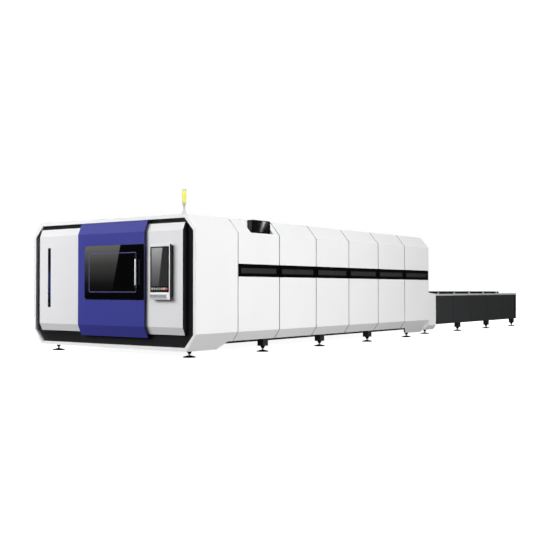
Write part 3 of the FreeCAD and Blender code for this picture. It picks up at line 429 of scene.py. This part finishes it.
# Thin rounded frame in a plane, facing the way that "turn" gives it
def flatFrame(mesh, across, up, wide, thick, radius, middle, turn):
    part = bmesh.new()
    bmesh.ops.create_grid(part, x_segments=1, y_segments=1, size=0.5)
    bmesh.ops.scale(part, vec=(across, up, 1), verts=part.verts[:])
    bmesh.ops.bevel(part, geom=part.verts[:], offset=radius, segments=6, profile=0.5,
                    affect="VERTICES", material=-1)
    bmesh.ops.inset_region(part, faces=part.faces[:], thickness=wide, use_even_offset=True,
                           use_boundary=True)
    bmesh.ops.delete(part, geom=[face for face in part.faces if len(face.verts) > 4],
                     context="FACES")
    bmesh.ops.solidify(part, geom=part.faces[:], thickness=thick)
    bmesh.ops.transform(part, matrix=Matrix.Translation(middle) @ turn, verts=part.verts[:])
    bmesh.ops.recalc_face_normals(part, faces=part.faces[:])
    joined(mesh, part)


def joined(mesh, part):
    data = bpy.data.meshes.new("spare")
    part.to_mesh(data)
    part.free()
    mesh.from_mesh(data)
    bpy.data.meshes.remove(data)


toFront = Matrix.Rotation(math.radians(90), 4, "X")  # +Z turned to -Y
toSide = Matrix.Rotation(math.radians(90), 4, "Z") @ toFront  # and on to +X

inlay = {"left": 0.111, "right": 0.170, "bottom": 0.125, "top": 0.129, "wide": 0.013,
         "thick": 0.002, "round": 0.03}
low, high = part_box("door_glass")
x0, x1 = low[0] + inlay["left"], high[0] - inlay["right"]
z0, z1 = low[2] + inlay["bottom"], high[2] - inlay["top"]
mesh = bmesh.new()
flatFrame(mesh, x1 - x0, z1 - z0, inlay["wide"], inlay["thick"], inlay["round"],
          ((x0 + x1) / 2, low[1] - inlay["thick"] / 2, (z0 + z1) / 2), toFront)
placed(mesh, "door_inlay", "inlay", "door")



# A flat sheet from its outline, as thick as "back" along +Y
def addSheet(mesh, corners, back):
    face = mesh.faces.new([mesh.verts.new(corner) for corner in corners])
    made = bmesh.ops.extrude_face_region(mesh, geom=[face])["geom"]
    bmesh.ops.translate(mesh, vec=(0, back, 0),
                        verts=[part for part in made if isinstance(part, bmesh.types.BMVert)])


# Blue fillers that round the glass's two left corners
filler = {"round": 0.07, "thick": 0.0012, "steps": 8}
mesh = bmesh.new()
for z, way in ((high[2], -1), (low[2], 1)):
    turns = [math.pi / 2 * n / filler["steps"] for n in range(filler["steps"] + 1)]
    arc = [(low[0] + filler["round"] * (1 - math.cos(turn)),
            z + way * filler["round"] * (1 - math.sin(turn))) for turn in turns]
    addSheet(mesh, [(x, low[1] - filler["thick"], up) for x, up in [(low[0], z)] + arc],
             filler["thick"])
bmesh.ops.recalc_face_normals(mesh, faces=mesh.faces[:])
placed(mesh, "door_corner_fillers", "blue", "door")


def addBox(mesh, low, high):
    made = bmesh.ops.create_cube(mesh, size=1)["verts"]
    bmesh.ops.scale(mesh, vec=[b - a for a, b in zip(low, high)], verts=made)
    bmesh.ops.translate(mesh, vec=[(a + b) / 2 for a, b in zip(low, high)], verts=made)


def easeAll(mesh, width):
    bmesh.ops.bevel(mesh, geom=mesh.edges[:], offset=width, segments=easing["segments"],
                    profile=0.5, affect="EDGES", material=-1, clamp_overlap=True)


keyboard = {"columns": 13, "rows": 4, "pitch": 0.0285, "rise": 0.0125, "key": 0.0235,
            "tall": 0.0095, "proud": 0.002, "sunk": 0.001, "top": 0.018, "ease": 0.0008}
low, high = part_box("console_keyboard")
mesh = bmesh.new()
start = (low[0] + high[0]) / 2 - keyboard["pitch"] * keyboard["columns"] / 2
for row in range(keyboard["rows"]):
    for column in range(keyboard["columns"]):
        x = start + keyboard["pitch"] * column
        z = high[2] - keyboard["top"] - keyboard["rise"] * (row + 1)
        addBox(mesh, (x, low[1] - keyboard["proud"], z),
               (x + keyboard["key"], low[1] + keyboard["sunk"], z + keyboard["tall"]))
easeAll(mesh, keyboard["ease"])
placed(mesh, "keyboard_keys", "keys", "machine")


# Silver ring round each button and switch
ring = {"inner": 0.0165, "outer": 0.0205, "tall": 0.003, "chamfer": 0.0005, "steps": 32}


def addRing(mesh, x, y, z):
    front = y - ring["tall"]
    corners = [(x + ring["inner"], y, z), (x + ring["outer"], y, z),
               (x + ring["outer"] - ring["chamfer"], front, z),
               (x + ring["inner"] + ring["chamfer"], front, z)]
    verts = [mesh.verts.new(corner) for corner in corners]
    lines = [mesh.edges.new((verts[i], verts[(i + 1) % 4])) for i in range(4)]
    bmesh.ops.spin(mesh, geom=verts + lines, cent=(x, y, z), axis=(0, 1, 0), angle=math.tau,
                   steps=ring["steps"], use_merge=True)


controls = ["button_start", "button_pause", "button_light", "button_exchange", "button_reset",
            "mode_selector", "emergency_stop"]
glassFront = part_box("console_glass")[0][1]
mesh = bmesh.new()
for node in controls:
    low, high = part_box(node)
    addRing(mesh, (low[0] + high[0]) / 2, glassFront, (low[2] + high[2]) / 2)
bmesh.ops.recalc_face_normals(mesh, faces=mesh.faces[:])
placed(mesh, "control_bezels", "silver", "machine")

# Rubber round each pane in the window band
gasket = {"wide": 0.009, "thick": 0.004, "round": 0.012, "inset": 0.075, "bays": 6,
          "margin": 0.02, "proud": 0.003}
low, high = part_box("window_panes")
pitch = (bandHigh[1] - bandLow[1] + 2 * gasket["margin"]) / gasket["bays"]
mesh = bmesh.new()
for bay in range(gasket["bays"]):
    middle = bandLow[1] - gasket["margin"] + pitch * (bay + 0.5)
    flatFrame(mesh, pitch - 2 * gasket["inset"], high[2] - low[2], gasket["wide"],
              gasket["thick"], gasket["round"],
              (high[0] + gasket["proud"], middle, (low[2] + high[2]) / 2), toSide)
placed(mesh, "pane_gaskets", "rubber", "machine")

# Table sides: black corner strips, and joints between the sheets
strips = {"end": 0.12, "joint": 0.004, "proud": 0.0015, "sheets": 6, "rim": 0.002,
          "short": 0.001}
low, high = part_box("table_panels")
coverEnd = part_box("rear_covers")[1][1]
mesh = bmesh.new()
joints = [(low[1] + (high[1] - low[1]) * n / strips["sheets"], strips["joint"])
          for n in range(1, strips["sheets"])]
for y, wide in joints + [(coverEnd + strips["end"] / 2, strips["end"]),
                         (high[1] - strips["end"] / 2 - strips["short"], strips["end"])]:
    for x in (low[0] - strips["proud"], high[0]):
        addBox(mesh, (x, y - wide / 2, low[2] + strips["rim"]),
               (x + strips["proud"], y + wide / 2, high[2] - strips["rim"]))
placed(mesh, "table_edge_strips", "rubber", "machine")

# Rear covers: white cheek behind the last panel's tucked edge
cheek = {"inner": 1.70, "lean": 0.075, "bend": 0.10, "thick": 0.003, "top": 0.45, "back": 0.004,
         "gap": 0.001}
low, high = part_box("rear_covers")
outer, top = high[0] - cheek["gap"], low[2] + cheek["top"]
foot = low[2] + cheek["gap"]
outline = [(cheek["inner"], foot), (high[0] - cheek["lean"], foot),
           (outer, low[2] + cheek["bend"]), (outer, top), (cheek["inner"], top)]
mesh = bmesh.new()
for side in (1, -1):
    addSheet(mesh, [(side * x, low[1] + cheek["back"], z) for x, z in outline], cheek["thick"])
bmesh.ops.recalc_face_normals(mesh, faces=mesh.faces[:])
placed(mesh, "cover_cheeks", "housing", "machine")

# Lock nuts on the levelling feet; places are measured from the front ring
feet = {"across": 0.042, "tall": 0.016, "level": 0.046, "ease": 0.002, "ring": 0.18,
        "side": [(1.82, 1.988), (1.82, 3.836), (1.82, 5.684)],
        "end": [(1.678, 7.735)],
        "front": [(1.678, 0.19), (-1.45, 0.14)],
        "table": [(1.34, 15.168), (1.34, 13.233), (1.34, 11.298), (1.34, 9.363)]}
spots = feet["front"] + [(side * x, y) for group in ("side", "end", "table")
                         for x, y in feet[group] for side in (1, -1)]
ringFront = cadBox[0][1] + feet["ring"]
mesh = bmesh.new()
for x, y in spots:
    made = bmesh.ops.create_cone(mesh, cap_ends=True, cap_tris=False, segments=6,
                                 radius1=feet["across"] / 2, radius2=feet["across"] / 2,
                                 depth=feet["tall"])["verts"]
    bmesh.ops.translate(mesh, vec=(x, ringFront + y, feet["level"]), verts=made)
easeAll(mesh, feet["ease"])
placed(mesh, "foot_lock_nuts", "steel", "machine")
print("small fittings done")

# Floor, light and camera
ground = {"half": 120.0, "dim": (0.95, 0.95, 0.95), "light": (0.97, 0.97, 0.97), "glow": 0.95}
material, place, values = newFinish("floor_white")
values.update(colour=mixed(noise(place, 0.2, 2), ground["dim"], ground["light"]), rough=0.9,
              glow=(1.0, 1.0, 1.0), glowStrength=ground["glow"])
mesh = bmesh.new()
bmesh.ops.create_grid(mesh, x_segments=1, y_segments=1, size=ground["half"])
floor = newPiece(mesh, "studio_floor", finished(material, place, values))
floor.visible_diffuse = False
floor.visible_glossy = False

studio = {"above": 0.20, "below": 0.02, "gloss": 0.02, "sky": 0.75, "horizon": 0.15,
          "skyFrom": 0.22, "skyTo": 0.5}
world = bpy.data.worlds.new("studio")
bpy.context.scene.world = world
world.use_nodes = True
world.node_tree.nodes.clear()
air = Wire(world.node_tree)
seen = air.node("ShaderNodeLightPath", out="Is Camera Ray")
gloss = air.node("ShaderNodeLightPath", out="Is Glossy Ray")
way = air.node("ShaderNodeTexCoord", out="Generated")
up = way.node("ShaderNodeSeparateXYZ", None, {0: way}, "Z")
share = up.node("ShaderNodeMapRange", {"interpolation_type": "SMOOTHSTEP"},
                {"Value": up, "From Min": -studio["horizon"], "From Max": studio["horizon"]})
level = studio["below"] + share * (studio["above"] - studio["below"])
aloft = up.node("ShaderNodeMapRange", {"interpolation_type": "SMOOTHSTEP"},
                {"Value": up, "From Min": studio["skyFrom"], "From Max": studio["skyTo"]})
mirrored = studio["gloss"] + aloft * (studio["sky"] - studio["gloss"])
level = level + gloss * (mirrored - level)
level = level + seen * (1.0 - level)
glow = air.node("ShaderNodeBackground", None, {"Color": (1, 1, 1, 1), "Strength": level})
air.node("ShaderNodeOutputWorld", None, {"Surface": glow})


def softbox(name, place, target, size, power):
    lamp = bpy.data.lights.new(name, "AREA")
    lamp.shape = "RECTANGLE"
    lamp.size, lamp.size_y = size
    lamp.energy = power
    piece = bpy.data.objects.new(name, lamp)
    bpy.context.scene.collection.objects.link(piece)
    piece.location = place
    way = Vector(target) - Vector(place)
    piece.rotation_euler = way.to_track_quat("-Z", "Y").to_euler()
    piece.visible_camera = False
    piece.visible_glossy = False


# place, target, size, power
lamps = {"key": ((18.5, -7.5, 5.0), (2, -3.5, 1.2), (7, 4), 2950),
         "fill": ((-5, -21, 6.5), (0, -7.6, 1.3), (14, 7), 2520),
         "overhead": ((0, 2, 14), (0, 1, 0), (8, 16), 20),
         "left": ((-16, 3, 6), (-2, 0, 1.2), (7, 5), 2000),
         "rear": ((3, 24, 6), (0, 8, 1.2), (7, 5), 1800)}
for name, setup in lamps.items():
    softbox(name, *setup)


shot = {"lens": 57.85, "sensor": 36, "far": 200, "eye": (11.2424, -18.2368, 1.1114),
        "tilt": 90.91, "turn": 35.96}


# A glowing card that only reflections see; it fills the given corners of a flat pane
def lightCard(name, pane, axis, corners, stops, strength):
    image = Vector(shot["eye"])
    image[axis] = 2 * pane - image[axis]  # the eye mirrored in the pane
    spread = [image + (Vector(corner) - image) * cards["reach"] for corner in corners]
    heights = [corner[2] for corner in spread]
    material = bpy.data.materials.new(name)
    material.use_nodes = True
    material.node_tree.nodes.clear()
    start = Wire(material.node_tree)
    place = start.node("ShaderNodeTexCoord", out="Object")
    up = place.node("ShaderNodeSeparateXYZ", None, {0: place}, "Z")
    share = (up - min(heights)) / (max(heights) - min(heights))
    shade = share.node("ShaderNodeValToRGB", {"stops": stops}, {"Fac": share})
    light = shade.node("ShaderNodeEmission", None, {"Color": shade, "Strength": strength})
    light.node("ShaderNodeOutputMaterial", None, {"Surface": light})
    mesh = bmesh.new()
    mesh.faces.new([mesh.verts.new(corner) for corner in spread])
    piece = newPiece(mesh, name, material)
    piece.visible_camera = False
    piece.visible_diffuse = False
    piece.visible_shadow = False
    piece.visible_transmission = False


cards = {"reach": 2.2, "rim": 0.004,
         "door": {"across": (-0.56, 0.19, 0.42), "up": (0.98, 1.90), "strength": 2.6,
                  "stops": [(0.0, (0, 0, 0)), (0.25, (0.05, 0.05, 0.05)),
                            (0.6, (0.30, 0.30, 0.29)), (1.0, (1, 1, 0.95))]},
         "console": {"across": (1.32, 1.40), "strength": 7.0,
                     "stops": [(0.0, (0.10, 0.10, 0.10)), (0.5, (0.4, 0.4, 0.4)),
                               (1.0, (1, 1, 1))]},
         "display": {"low": (-5.82, -5.80), "high": (-5.66, -5.70), "up": (2.10, 2.34),
                     "strength": 24.0, "stops": [(0.0, (0.2, 0.2, 0.2)), (1.0, (1, 1, 1))]}}
card = cards["door"]
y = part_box("door_glass")[0][1]
left, foot, head = card["across"]
z0, z1 = card["up"]
lightCard("door_card", y, 1, [(left, y, z0), (foot, y, z0), (head, y, z1), (left, y, z1)],
          card["stops"], card["strength"])
card = cards["console"]
low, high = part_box("console_display")
y = low[1]
foot, head = card["across"]
x0, z0, z1 = low[0] + cards["rim"], low[2] + cards["rim"], high[2] - cards["rim"]
lightCard("console_card", y, 1, [(x0, y, z0), (foot, y, z0), (head, y, z1), (x0, y, z1)],
          card["stops"], card["strength"])
card = cards["display"]
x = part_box("display_screen")[1][0]
z0, z1 = card["up"]
lightCard("display_card", x, 0, [(x, y, z0) for y in card["low"]]
          + [(x, y, z1) for y in card["high"]], card["stops"], card["strength"])

camera = bpy.data.cameras.new("studio_camera")
camera.lens = shot["lens"]
camera.sensor_width = shot["sensor"]
camera.clip_end = shot["far"]
view = bpy.data.objects.new("studio_camera", camera)
bpy.context.scene.collection.objects.link(view)
view.location = shot["eye"]
view.rotation_euler = (math.radians(shot["tilt"]), 0, math.radians(shot["turn"]))
bpy.context.scene.camera = view
bpy.context.scene.view_settings.view_transform = "Standard"
print("studio set")
